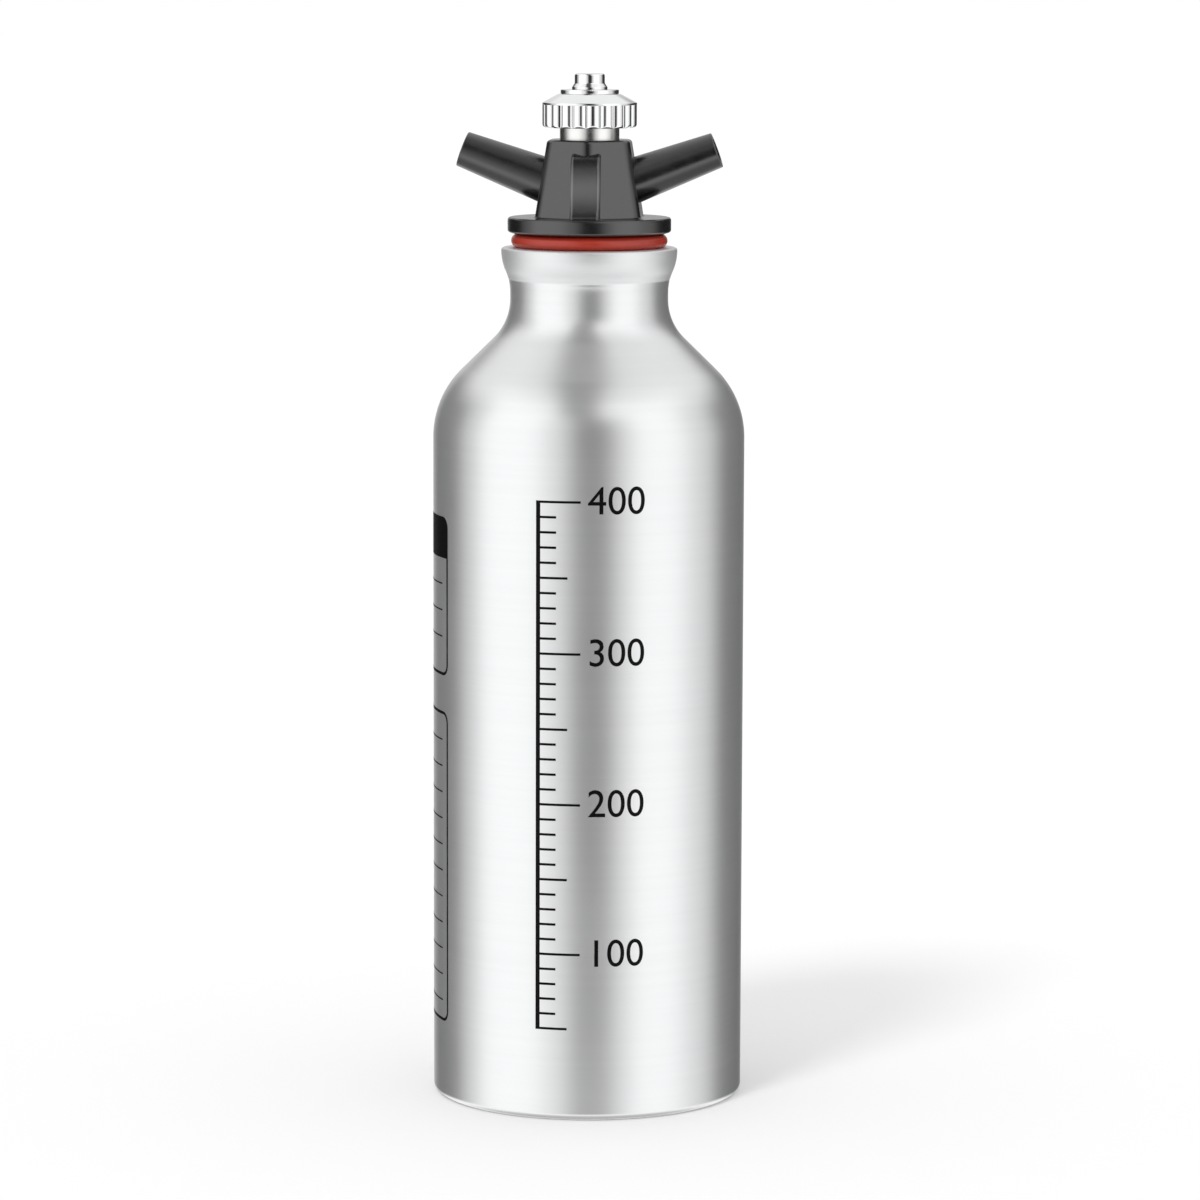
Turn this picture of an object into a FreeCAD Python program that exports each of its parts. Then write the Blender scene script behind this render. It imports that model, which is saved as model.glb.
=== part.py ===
import FreeCAD, Part
import math
import os

# Half-litre camping fuel bottle with a safety-valve cap, in millimetres.
# Z is up, the origin is the middle of the base, and the spouts lie along X.

# Bottle, drawn from one aluminium slug
body_r = 33.0
body_wall = 1.2
body_straight_h = 140.5
base_t = 1.6
base_corner_r = 1.5
base_inner_corner_r = 1.0
base_ring_w = 2.5
base_dome_h = 5.0
shoulder_arc_r = 20.0
shoulder_slope_deg = 45.6
waist_r = 16.68
waist_arc_r = 11.6
neck_wall = 2.78
neck_straight_h = 1.4
lip_rise = 10.83
lip_flare = 1.89
lip_round_r = 0.6
mouth_round_r = 0.4

# Red O-ring, pinched between the lip and the cap's flange
o_ring_mean_r = 15.05
o_ring_section_d = 2.9
o_ring_squeeze = 0.1

# Cap: flange and threaded plug
flange_r = 17.25
flange_t = 3.55
flange_edge_r = 0.6
flange_seat_w = 0.5
flange_under_rise = 0.5
plug_depth = 12.0
plug_thread_depth = 1.3
plug_edge_r = 0.6
land_clearance = 0.3
land_depth = 1.0

# Cap: six-sided tapered tower with a front and a back rib
tower_sides = 6
tower_h = 16.3
tower_foot_half_flats = 11.15
tower_top_half_flats = 8.68
tower_edge_r = 3.4
tower_top_edge_r = 0.9
tower_foot_fillet_r = 0.5
tower_sink = 1.8
rib_w = 6.2
rib_proud = 1.25
rib_face_h = 8.9
rib_crown_r = 5.0
rib_foot_r = 2.6
rib_edge_r = 0.7
rib_sink = 1.2
rib_foot_sink = 0.1

# Spouts: two tapered tubes, plugged into the tower's side flats
spout_rise_deg = 20.4
spout_axis_rise = 4.22
spout_reach = 26.85
spout_root_r = 4.75
spout_tip_r = 3.78
spout_bore_r = 2.5
spout_tip_edge_r = 0.25
spigot_r = 3.5
spigot_len = 2.8
spigot_clearance = 0.05

# Ports in the plug, closed from below by the rubber disc
port_offset = 7.2
port_r = 2.0
seal_r = 10.6
seal_t = 2.0
backing_r = 10.2
backing_t = 1.0
lock_washer_r = 2.9
lock_washer_t = 0.6
lock_nut_across_flats = 5.5
lock_nut_h = 2.4
lock_nut_sides = 6

# Valve stem and its return spring
stem_r = 2.0
stem_tail_r = 1.5
stem_tail_past_nut = 1.0
stem_edge_r = 0.3
stem_clearance = 0.05
guide_len = 8.0
chamber_r = 4.0
spring_mean_r = 3.0
spring_wire_d = 0.7
spring_turns = 8
spring_points_per_turn = 40
spring_washer_t = 0.8
spring_washer_r = 3.6
clip_t = 0.7
clip_r = 3.3
clip_groove_depth = 0.4
clip_slot_w = 2.4
clip_headroom = 0.5

# Guide collar with the stem's gland
collar_r = 6.28
collar_bore_r = 5.0
collar_seat_depth = 5.0
collar_rise = 3.7
collar_edge_r = 0.25
collar_clearance = 0.05
gland_t = 3.5
gland_ring_section_d = 1.2
gland_ring_clearance = 0.05

# Travel of the button and of the locking knob
press_travel = 1.4
lock_travel = 1.05
stop_gap = 0.05

# Locking knob, with ribs all round
knob_r = 10.0
knob_band_h = 5.2
knob_cone_h = 1.8
knob_top_r = 6.6
knob_edge_r = 0.7
knob_shoulder_r = 0.35
knob_ribs = 20
knob_groove_w = 1.5
knob_groove_depth = 0.7
knob_rim_t = 0.3
knob_counterbore_clearance = 0.3
knob_hub_r = 4.6
thrust_washer_t = 0.8
thrust_washer_clearance = 0.1

# Bright washer and push button on top
top_washer_r = 6.15
top_washer_t = 0.95
top_washer_edge_r = 0.2
button_h = 3.35
button_r = 3.18
button_skirt_r = 3.75
button_skirt_h = 0.5
button_neck_h = 0.85
button_edge_r = 0.5
button_crown_t = 1.1

# Shared working values
overrun = 1.0
full_turn_deg = 360
tiny_gap = 1e-6

# Levels worked out from the sizes above
slope = math.radians(shoulder_slope_deg)
inner_r = body_r - body_wall
mouth_r = waist_r - neck_wall
lip_r = waist_r + lip_flare
shoulder_end_r = body_r - shoulder_arc_r * (1 - math.cos(slope))
shoulder_end_z = body_straight_h + shoulder_arc_r * math.sin(slope)
waist_start_r = waist_r + waist_arc_r * (1 - math.cos(slope))
waist_start_z = shoulder_end_z + (shoulder_end_r - waist_start_r) / math.tan(slope)
waist_z = waist_start_z + waist_arc_r * math.sin(slope)
lip_top_z = waist_z + lip_rise
o_ring_h = o_ring_section_d - o_ring_squeeze
flange_bottom_z = lip_top_z + o_ring_h
flange_top_z = flange_bottom_z + flange_t
tower_top_z = flange_top_z + tower_h
tower_taper = (tower_foot_half_flats - tower_top_half_flats) / tower_h
plug_r = mouth_r - plug_thread_depth
port_face_z = lip_top_z - plug_depth
chamber_floor_z = port_face_z + guide_len
collar_seat_z = tower_top_z - collar_seat_depth
collar_top_z = tower_top_z + collar_rise
gland_top_z = collar_seat_z + gland_t
clip_top_z = collar_seat_z - clip_headroom
clip_bottom_z = clip_top_z - clip_t
spring_top_z = clip_bottom_z - spring_washer_t
seal_bottom_z = port_face_z - seal_t
backing_bottom_z = seal_bottom_z - backing_t
lock_washer_bottom_z = backing_bottom_z - lock_washer_t
lock_nut_bottom_z = lock_washer_bottom_z - lock_nut_h
stem_bottom_z = lock_nut_bottom_z - stem_tail_past_nut
total_travel = press_travel + lock_travel + stop_gap
knob_bottom_z = tower_top_z + total_travel
knob_band_top_z = knob_bottom_z + knob_band_h
knob_top_z = knob_band_top_z + knob_cone_h
thrust_washer_bottom_z = collar_top_z + total_travel
counterbore_top_z = thrust_washer_bottom_z + thrust_washer_t
counterbore_r = collar_r + knob_counterbore_clearance
hub_bottom_z = gland_top_z + total_travel
button_bottom_z = knob_top_z + top_washer_t
button_top_z = button_bottom_z + button_h
stem_top_z = button_top_z - button_crown_t
stem_bore_r = stem_r + stem_clearance
tail_bore_r = stem_tail_r + stem_clearance
spout_rise = math.radians(spout_rise_deg)
spout_origin_z = flange_top_z + spout_axis_rise

up = FreeCAD.Vector(0, 0, 1)
axis_foot = FreeCAD.Vector(0, 0, 0)


def section_point(r, z):
    """A point of a half section: r is out from the axis, z is up."""
    return FreeCAD.Vector(r, 0, z)


class Pen:
    """Draws a half section edge by edge, with arcs about given centres."""

    def __init__(self, r, z):
        self.at = section_point(r, z)
        self.edges = []

    def line(self, r, z):
        end = section_point(r, z)
        self.edges.append(Part.makeLine(self.at, end))
        self.at = end

    def arc(self, centre_r, centre_z, sweep):
        """Turns about a centre; a positive sweep, in radians, goes from r towards z."""
        centre = section_point(centre_r, centre_z)
        arm = self.at - centre
        stops = []
        for angle in (sweep / 2, sweep):
            turned_r = arm.x * math.cos(angle) - arm.z * math.sin(angle)
            turned_z = arm.x * math.sin(angle) + arm.z * math.cos(angle)
            stops.append(centre + section_point(turned_r, turned_z))
        self.edges.append(Part.Arc(self.at, stops[0], stops[1]).toShape())
        self.at = stops[1]

    def turned(self):
        """The section turned once round the axis."""
        return turned_face(Part.Wire(self.edges))


def turned_face(wire):
    """A closed half section turned once round the axis."""
    return Part.Face(wire).revolve(axis_foot, up, full_turn_deg)


def rounded_wire(corners, place=section_point):
    """A closed outline through (u, v, radius) corners; a radius draws that corner as a tangent arc."""
    points = [place(u, v) for u, v, radius in corners]
    bends = []
    for index, (u, v, radius) in enumerate(corners):
        here = points[index]
        if radius == 0:
            bends.append((here, here, here))
            continue
        back = (points[index - 1] - here).normalize()
        ahead = (points[(index + 1) % len(points)] - here).normalize()
        half_angle = back.getAngle(ahead) / 2
        inward = (back + ahead).normalize()
        reach = radius / math.tan(half_angle)
        depth = radius / math.sin(half_angle) - radius
        bends.append((here + back * reach, here + inward * depth, here + ahead * reach))
    edges = []
    for index, (start, middle, end) in enumerate(bends):
        if start.distanceToPoint(end) > tiny_gap:
            edges.append(Part.Arc(start, middle, end).toShape())
        following = bends[(index + 1) % len(bends)][0]
        if end.distanceToPoint(following) > tiny_gap:
            edges.append(Part.makeLine(end, following))
    return Part.Wire(edges)


def turned_corners(corners):
    """A solid turned from (r, z, radius) corners."""
    return turned_face(rounded_wire(corners))


def washer(inner_r, outer_r, bottom_z, thickness, edge_r=0):
    """A flat ring."""
    top_z = bottom_z + thickness
    return turned_corners([
        (inner_r, bottom_z, 0),
        (outer_r, bottom_z, edge_r),
        (outer_r, top_z, edge_r),
        (inner_r, top_z, 0),
    ])


def post(r, bottom_z, top_z, x=0):
    """An upright round post."""
    return Part.makeCylinder(r, top_z - bottom_z, FreeCAD.Vector(x, 0, bottom_z), up)


def polygon_points(half_flats, sides, z):
    """Corners of a regular outline at height z, the first one facing the front."""
    vertex_r = half_flats / math.cos(math.pi / sides)
    points = []
    for side in range(sides):
        angle = 2 * math.pi * side / sides - math.pi / 2
        points.append(FreeCAD.Vector(vertex_r * math.cos(angle), vertex_r * math.sin(angle), z))
    return points


def flat_face(points):
    """A flat face with straight edges through the points."""
    return Part.Face(Part.makePolygon(points + points[:1]))


def frustum(low, high):
    """A solid with flat sides between two outlines that have as many corners each."""
    faces = [flat_face(low[::-1]), flat_face(high)]
    for index, corner in enumerate(low):
        following = (index + 1) % len(low)
        faces.append(flat_face([corner, low[following], high[following], high[index]]))
    return Part.Solid(Part.Shell(faces))


def bottle_shell():
    """Bottle: domed base, straight body, round shoulder, waisted neck and flared lip, one even wall."""
    ring_inner_r = body_r - base_corner_r - base_ring_w
    dome_r = (ring_inner_r ** 2 + base_dome_h ** 2) / (2 * base_dome_h)
    dome_centre_z = base_dome_h - dome_r
    dome_sweep = math.asin(ring_inner_r / dome_r)
    flare_foot_z = waist_z + neck_straight_h
    flare_half_h = (lip_top_z - lip_round_r - flare_foot_z) / 2
    flare_half_w = lip_flare / 2
    flare_arc_r = (flare_half_w ** 2 + flare_half_h ** 2) / (2 * flare_half_w)
    flare_sweep = math.asin(flare_half_h / flare_arc_r)
    quarter = math.pi / 2

    pen = Pen(0, base_dome_h)
    pen.arc(0, dome_centre_z, -dome_sweep)
    pen.line(body_r - base_corner_r, 0)
    pen.arc(body_r - base_corner_r, base_corner_r, quarter)
    pen.line(body_r, body_straight_h)
    pen.arc(body_r - shoulder_arc_r, body_straight_h, slope)
    pen.line(waist_start_r, waist_start_z)
    pen.arc(waist_r + waist_arc_r, waist_z, -slope)
    pen.line(waist_r, flare_foot_z)
    pen.arc(waist_r + flare_arc_r, flare_foot_z, -flare_sweep)
    pen.arc(lip_r - flare_arc_r, lip_top_z - lip_round_r, flare_sweep)
    pen.arc(lip_r - lip_round_r, lip_top_z - lip_round_r, quarter)
    pen.line(mouth_r + mouth_round_r, lip_top_z)
    pen.arc(mouth_r + mouth_round_r, lip_top_z - mouth_round_r, quarter)

    inner_arc_r = shoulder_arc_r - body_wall
    inner_end_r = body_r - shoulder_arc_r + inner_arc_r * math.cos(slope)
    inner_end_z = body_straight_h + inner_arc_r * math.sin(slope)
    pen.line(mouth_r, inner_end_z + (inner_end_r - mouth_r) / math.tan(slope))
    pen.line(inner_end_r, inner_end_z)
    pen.arc(body_r - shoulder_arc_r, body_straight_h, -slope)
    pen.line(inner_r, base_t + base_inner_corner_r)
    pen.arc(inner_r - base_inner_corner_r, base_t + base_inner_corner_r, -quarter)
    inner_dome_r = dome_r + base_t
    inner_dome_sweep = math.acos((inner_dome_r - base_dome_h) / inner_dome_r)
    pen.line(inner_dome_r * math.sin(inner_dome_sweep), base_t)
    pen.arc(0, dome_centre_z, inner_dome_sweep)
    pen.line(0, base_dome_h)
    return pen.turned()


def cap_o_ring():
    """O-ring with the two narrow flats that the squeeze leaves on it."""
    section_r = o_ring_section_d / 2
    half_h = o_ring_h / 2
    middle_z = lip_top_z + half_h
    round_sweep = 2 * math.asin(half_h / section_r)
    flat_half_w = section_r * math.cos(round_sweep / 2)
    pen = Pen(o_ring_mean_r + flat_half_w, lip_top_z)
    pen.arc(o_ring_mean_r, middle_z, round_sweep)
    pen.line(o_ring_mean_r - flat_half_w, flange_bottom_z)
    pen.arc(o_ring_mean_r, middle_z, round_sweep)
    pen.line(o_ring_mean_r + flat_half_w, lip_top_z)
    return pen.turned()


def half_flats_at(z):
    """Half the tower's width across its flats at height z."""
    return tower_foot_half_flats - tower_taper * (z - flange_top_z)


def tower():
    """Tapered six-sided tower, its foot sunk into the flange."""
    foot_z = flange_top_z - tower_sink
    outlines = []
    for z in (foot_z, tower_top_z):
        outlines.append(polygon_points(half_flats_at(z), tower_sides, z))
    block = frustum(outlines[0], outlines[1])
    corners = [edge for edge in block.Edges if edge.BoundBox.ZLength > tiny_gap]
    block = block.makeFillet(tower_edge_r, corners)
    rim = [edge for edge in block.Edges if abs(edge.BoundBox.ZMin - tower_top_z) < tiny_gap]
    return block.makeFillet(tower_top_edge_r, rim)


def rib_bar():
    """Front and back rib in one bar through the tower: hollow feet, sloped faces and round crowns."""
    lean = tower_taper / math.cos(math.pi / tower_sides)
    face_foot = tower_foot_half_flats / math.cos(math.pi / tower_sides) + rib_proud
    foot_end = face_foot + rib_foot_r * math.tan((math.pi / 2 - math.atan(lean)) / 2)
    crown_top_z = flange_top_z + rib_face_h + rib_crown_r
    crown_corner = face_foot - lean * (rib_face_h + rib_crown_r)
    sunk_z = flange_top_z - rib_sink
    foot_z = flange_top_z - rib_foot_sink
    front = [
        (foot_end, sunk_z, 0),
        (foot_end, foot_z, 0),
        (face_foot, foot_z, rib_foot_r),
        (crown_corner, crown_top_z, rib_crown_r),
    ]
    back = [(-y, z, radius) for y, z, radius in reversed(front)]
    half_w = rib_w / 2
    profile = rounded_wire(front + back, lambda y, z: FreeCAD.Vector(-half_w, -y, z))
    bar = Part.Face(profile).extrude(FreeCAD.Vector(rib_w, 0, 0))
    sides = []
    for edge in bar.Edges:
        if edge.BoundBox.XLength < tiny_gap and edge.BoundBox.ZMax > flange_top_z + tiny_gap:
            sides.append(edge)
    return bar.makeFillet(rib_edge_r, sides)


def along_spout(distance):
    """A point on the right spout's axis, measured out from the bottle's axis."""
    z = spout_origin_z + distance * math.sin(spout_rise)
    return FreeCAD.Vector(distance * math.cos(spout_rise), 0, z)


def spout_rod(r, start, end):
    """A round rod on the right spout's axis."""
    return Part.makeCylinder(r, end - start, along_spout(start), along_spout(end) - along_spout(start))


def spout_root_distance():
    """Where the spout's axis comes out of the tower's sloped flat."""
    flat_at_origin = half_flats_at(spout_origin_z)
    return flat_at_origin / (math.cos(spout_rise) + tower_taper * math.sin(spout_rise))


def half_turned(shape):
    """A copy turned half round the bottle's axis."""
    copy = shape.copy()
    copy.rotate(axis_foot, up, full_turn_deg / 2)
    return copy


def spout():
    """Right spout: tapered tube cut to the tower's flat, with a spigot for the tower's socket."""
    root = spout_root_distance()
    tip = spout_reach / math.cos(spout_rise)
    spigot_end = root - spigot_len
    taper = (spout_root_r - spout_tip_r) / (tip - root)
    axis = along_spout(tip) - along_spout(root)
    inner_end_r = spout_root_r + taper * spigot_len
    tube = Part.makeCone(inner_end_r, spout_tip_r, tip - spigot_end, along_spout(spigot_end), axis)
    tip_edges = []
    for edge in tube.Edges:
        if edge.CenterOfMass.distanceToPoint(along_spout(tip)) < tiny_gap:
            tip_edges.append(edge)
    tube = tube.makeFillet(spout_tip_edge_r, tip_edges)
    tube = tube.cut(tower())
    tube = tube.fuse(spout_rod(spigot_r, spigot_end, root + spigot_len))
    return tube.cut(spout_rod(spout_bore_r, spigot_end - overrun, tip + overrun)).removeSplitter()


def tower_foot_edges(body):
    """Edges where the tower and its ribs stand on the flange's flat top."""
    flat_r = flange_r - 2 * flange_edge_r
    edges = []
    for edge in body.Edges:
        height = max(abs(edge.BoundBox.ZMin - flange_top_z), abs(edge.BoundBox.ZMax - flange_top_z))
        reach = max(math.hypot(vertex.X, vertex.Y) for vertex in edge.Vertexes)
        if height < tiny_gap and reach < flat_r:
            edges.append(edge)
    return edges


def valve_body():
    """Cap: plug, flange, tower and ribs in one moulding, with bore, ports and spout sockets."""
    land_r = o_ring_mean_r - o_ring_section_d / 2 - land_clearance
    seat_r = o_ring_mean_r + flange_seat_w
    land_bottom_z = lip_top_z - land_depth
    body = turned_corners([
        (0, port_face_z, 0),
        (plug_r, port_face_z, plug_edge_r),
        (plug_r, land_bottom_z, 0),
        (land_r, land_bottom_z, 0),
        (land_r, flange_bottom_z, 0),
        (seat_r, flange_bottom_z, 0),
        (flange_r, flange_bottom_z + flange_under_rise, flange_edge_r),
        (flange_r, flange_top_z, flange_edge_r),
        (0, flange_top_z, 0),
    ])
    body = body.fuse(tower()).fuse(rib_bar()).removeSplitter()
    body = body.makeFillet(tower_foot_fillet_r, tower_foot_edges(body))

    core = turned_corners([
        (0, port_face_z - overrun, 0),
        (stem_bore_r, port_face_z - overrun, 0),
        (stem_bore_r, chamber_floor_z, 0),
        (chamber_r, chamber_floor_z, 0),
        (chamber_r, collar_seat_z, 0),
        (collar_r + collar_clearance, collar_seat_z, 0),
        (collar_r + collar_clearance, tower_top_z + overrun, 0),
        (0, tower_top_z + overrun, 0),
    ])
    root = spout_root_distance()
    elbow = port_offset / math.cos(spout_rise)
    socket = spout_rod(spigot_r + spigot_clearance, root - spigot_len, root + spigot_len)
    bore = spout_rod(spout_bore_r, elbow, root)
    port = post(port_r, port_face_z - overrun, along_spout(elbow).z, port_offset)
    cuts = [core]
    for cut in (socket, bore, port):
        cuts += [cut, half_turned(cut)]
    return body.cut(cuts)


def guide_collar():
    """Collar pressed into the tower: guides the knob's hub above, holds the stem's O-ring below."""
    groove_r = stem_bore_r + gland_ring_section_d + gland_ring_clearance
    groove_half_h = gland_ring_section_d / 2 + gland_ring_clearance
    groove_z = collar_seat_z + gland_t / 2
    return turned_corners([
        (stem_bore_r, collar_seat_z, 0),
        (collar_r, collar_seat_z, 0),
        (collar_r, collar_top_z, collar_edge_r),
        (collar_bore_r, collar_top_z, collar_edge_r),
        (collar_bore_r, gland_top_z, 0),
        (stem_bore_r, gland_top_z, 0),
        (stem_bore_r, groove_z + groove_half_h, 0),
        (groove_r, groove_z + groove_half_h, 0),
        (groove_r, groove_z - groove_half_h, 0),
        (stem_bore_r, groove_z - groove_half_h, 0),
    ])


def stem_o_ring():
    """Small O-ring in the collar's gland."""
    section_r = gland_ring_section_d / 2
    middle = FreeCAD.Vector(0, 0, collar_seat_z + gland_t / 2)
    return Part.makeTorus(stem_bore_r + section_r, section_r, middle, up)


def valve_stem():
    """Stem: thinner tail for the seal's stack, a groove for the clip, plain rod up to the button."""
    groove_r = stem_r - clip_groove_depth
    return turned_corners([
        (0, stem_bottom_z, 0),
        (stem_tail_r, stem_bottom_z, stem_edge_r),
        (stem_tail_r, port_face_z, 0),
        (stem_r, port_face_z, 0),
        (stem_r, clip_bottom_z, 0),
        (groove_r, clip_bottom_z, 0),
        (groove_r, clip_top_z, 0),
        (stem_r, clip_top_z, 0),
        (stem_r, stem_top_z, stem_edge_r),
        (0, stem_top_z, 0),
    ])


def stem_clip():
    """Open ring pushed sideways into the stem's groove."""
    ring = washer(stem_r - clip_groove_depth + stem_clearance, clip_r, clip_bottom_z, clip_t)
    slot_corner = FreeCAD.Vector(-clip_slot_w / 2, 0, clip_bottom_z - overrun)
    slot = Part.makeBox(clip_slot_w, clip_r + overrun, clip_t + 2 * overrun, slot_corner)
    return ring.cut(slot)


def biarc(start, start_way, end, end_way):
    """Two arcs, each tangent to the other, from one point and direction to another."""
    chord = end - start
    ways = start_way + end_way
    square = ways.dot(ways) - 4
    cross = chord.dot(ways)
    reach = (cross - math.sqrt(cross ** 2 - square * chord.dot(chord))) / square
    first_apex = start + start_way * reach
    second_apex = end - end_way * reach
    joint = (first_apex + second_apex) / 2
    edges = []
    for a, apex, b in ((start, first_apex, joint), (joint, second_apex, end)):
        middle = (a + b) / 2
        half_chord = a.distanceToPoint(b) / 2
        base_angle = math.acos(half_chord / reach)
        rise = half_chord * math.tan(base_angle / 2)
        edges.append(Part.Arc(a, middle + (apex - middle).normalize() * rise, b).toShape())
    return edges


def return_spring():
    """Coil spring between the chamber's floor and the spring washer, one unbroken wire."""
    wire_r = spring_wire_d / 2
    low_z = chamber_floor_z + wire_r
    high_z = spring_top_z - wire_r
    pitch = (high_z - low_z) / spring_turns
    half_turns = 2 * spring_turns
    lead = pitch / (2 * math.pi * spring_mean_r)

    def place(turn):
        angle = 2 * math.pi * turn
        x = spring_mean_r * math.cos(angle)
        y = spring_mean_r * math.sin(angle)
        return FreeCAD.Vector(x, y, low_z + pitch * turn)

    def way(turn):
        angle = 2 * math.pi * turn
        return FreeCAD.Vector(-math.sin(angle), math.cos(angle), lead).normalize()

    edges = []
    for half in range(half_turns):
        edges += biarc(place(half / 2), way(half / 2), place((half + 1) / 2), way((half + 1) / 2))
    path = Part.Wire(edges)
    section = Part.Wire([Part.makeCircle(wire_r, place(0), way(0))])
    coil = path.makePipeShell([section], True, False)
    report_spring(coil, path, wire_r)
    return coil


def report_spring(coil, path, wire_r):
    """Prints the wire's volume against its section times its length, and its least gap to itself."""
    points = path.discretize(Number=spring_points_per_turn * spring_turns)
    skip = len(points) // (2 * spring_turns)
    least = min(
        a.distanceToPoint(b)
        for index, a in enumerate(points)
        for b in points[index + skip:]
    )
    expected = math.pi * wire_r ** 2 * path.Length
    gap = least - 2 * wire_r
    print("spring: volume share", round(coil.Volume / expected, 4), "least gap", round(gap, 3))


def seal_lock_nut():
    """Hexagon nut under the seal's stack."""
    outline = polygon_points(lock_nut_across_flats / 2, lock_nut_sides, lock_nut_bottom_z)
    nut = flat_face(outline).extrude(up * lock_nut_h)
    return nut.cut(post(tail_bore_r, lock_nut_bottom_z - overrun, lock_washer_bottom_z + overrun))


def locking_knob():
    """Knob: ribbed band, coned top, a counterbore over the collar and a hub inside it."""
    knob = turned_corners([
        (stem_bore_r, hub_bottom_z, 0),
        (knob_hub_r, hub_bottom_z, 0),
        (knob_hub_r, counterbore_top_z, 0),
        (counterbore_r, counterbore_top_z, 0),
        (counterbore_r, knob_bottom_z, 0),
        (knob_r, knob_bottom_z, knob_edge_r),
        (knob_r, knob_band_top_z, knob_shoulder_r),
        (knob_top_r, knob_top_z, 0),
        (stem_bore_r, knob_top_z, 0),
    ])
    groove_floor_r = knob_r - knob_groove_depth
    groove_foot_z = knob_bottom_z - overrun
    groove_h = knob_band_top_z - knob_rim_t - groove_foot_z
    groove_corner = FreeCAD.Vector(groove_floor_r, -knob_groove_w / 2, groove_foot_z)
    grooves = []
    for index in range(knob_ribs):
        groove = Part.makeBox(knob_groove_depth + overrun, knob_groove_w, groove_h, groove_corner)
        groove.rotate(axis_foot, up, full_turn_deg * index / knob_ribs)
        grooves.append(groove)
    return knob.cut(grooves)


def push_button():
    """Button and cap nut in one: a skirt on the washer, a neck and a round crown over the stem."""
    skirt_top_z = button_bottom_z + button_skirt_h
    return turned_corners([
        (stem_bore_r, button_bottom_z, 0),
        (button_skirt_r, button_bottom_z, 0),
        (button_skirt_r, skirt_top_z, 0),
        (button_r, skirt_top_z + button_neck_h, 0),
        (button_r, button_top_z, button_edge_r),
        (0, button_top_z, 0),
        (0, stem_top_z, 0),
        (stem_bore_r, stem_top_z, 0),
    ])


def thrust_washer():
    """Washer in the knob's counterbore, which lands on the collar when the knob is screwed down."""
    inner = knob_hub_r + thrust_washer_clearance
    outer = counterbore_r - thrust_washer_clearance
    return washer(inner, outer, thrust_washer_bottom_z, thrust_washer_t)


right_spout = spout()
nodes = {
    "bottle_shell": bottle_shell(),
    "cap_o_ring": cap_o_ring(),
    "valve_body": valve_body(),
    "pour_spout": half_turned(right_spout),
    "vent_spout": right_spout,
    "guide_collar": guide_collar(),
    "stem_o_ring": stem_o_ring(),
    "valve_stem": valve_stem(),
    "stem_clip": stem_clip(),
    "spring_washer": washer(stem_bore_r, spring_washer_r, spring_top_z, spring_washer_t),
    "return_spring": return_spring(),
    "poppet_seal": washer(tail_bore_r, seal_r, seal_bottom_z, seal_t),
    "seal_backing_washer": washer(tail_bore_r, backing_r, backing_bottom_z, backing_t),
    "seal_lock_washer": washer(tail_bore_r, lock_washer_r, lock_washer_bottom_z, lock_washer_t),
    "seal_lock_nut": seal_lock_nut(),
    "locking_knob": locking_knob(),
    "knob_thrust_washer": thrust_washer(),
    "top_washer": washer(stem_bore_r, top_washer_r, knob_top_z, top_washer_t, top_washer_edge_r),
    "push_button": push_button(),
}

os.makedirs("parts", exist_ok=True)
for name, shape in nodes.items():
    print(name, len(shape.Solids), shape.isValid(), round(shape.Volume, 2))
    shape.exportStep(f"parts/{name}.step")
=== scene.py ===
import math

import bmesh
import bpy
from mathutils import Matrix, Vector


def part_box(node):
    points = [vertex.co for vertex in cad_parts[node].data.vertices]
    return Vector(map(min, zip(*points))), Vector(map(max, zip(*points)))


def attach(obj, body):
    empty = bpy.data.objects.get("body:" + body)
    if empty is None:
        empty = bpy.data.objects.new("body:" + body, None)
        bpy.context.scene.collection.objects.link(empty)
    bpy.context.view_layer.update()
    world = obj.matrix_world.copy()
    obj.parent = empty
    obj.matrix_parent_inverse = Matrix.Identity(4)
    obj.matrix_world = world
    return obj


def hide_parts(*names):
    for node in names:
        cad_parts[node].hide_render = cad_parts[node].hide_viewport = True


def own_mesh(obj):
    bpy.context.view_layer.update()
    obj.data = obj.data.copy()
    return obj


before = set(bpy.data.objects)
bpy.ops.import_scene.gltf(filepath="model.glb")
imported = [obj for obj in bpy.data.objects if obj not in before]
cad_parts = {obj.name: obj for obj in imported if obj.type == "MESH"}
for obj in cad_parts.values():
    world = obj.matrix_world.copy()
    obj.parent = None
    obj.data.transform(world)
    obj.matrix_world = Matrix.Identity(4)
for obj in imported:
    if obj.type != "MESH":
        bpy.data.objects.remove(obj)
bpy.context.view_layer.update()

bpy.context.scene.view_settings.view_transform = "Standard"

# Bottle: drawn from one aluminium slug, its neck pressed in and its lip rolled outwards round the mouth.
# The outside is brushed while it turns, so its fine lines run round it; the rolled lip stays duller.
# It carries everything else.
bottle_low, bottle_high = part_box("bottle_shell")
ink_t = 0.00003
print_r = -bottle_low.y
body_r = print_r - ink_t
body_wall = 0.0012
straight_top_z = 0.1405
base_t = 0.0016
base_corner_r = 0.0015
base_inner_corner_r = 0.001
base_ring_w = 0.0025
base_dome_h = 0.005
shoulder_arc_r = 0.020
shoulder_slope = math.radians(45.6)
waist_r = 0.01668
waist_arc_r = 0.0116
neck_wall = 0.00278
neck_straight_h = 0.0014
lip_flare = 0.00189
lip_round_r = 0.0006
mouth_round_r = 0.0004
tool_mark_z = 0.1738
tool_mark_depth = 0.00005
tool_mark_reach = 0.0002
bottle_turn_steps = 192
quarter_turn = math.pi / 2
full_turn = 2 * math.pi
smooth_angle = math.radians(32)
merge_gap = 0.000002


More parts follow.
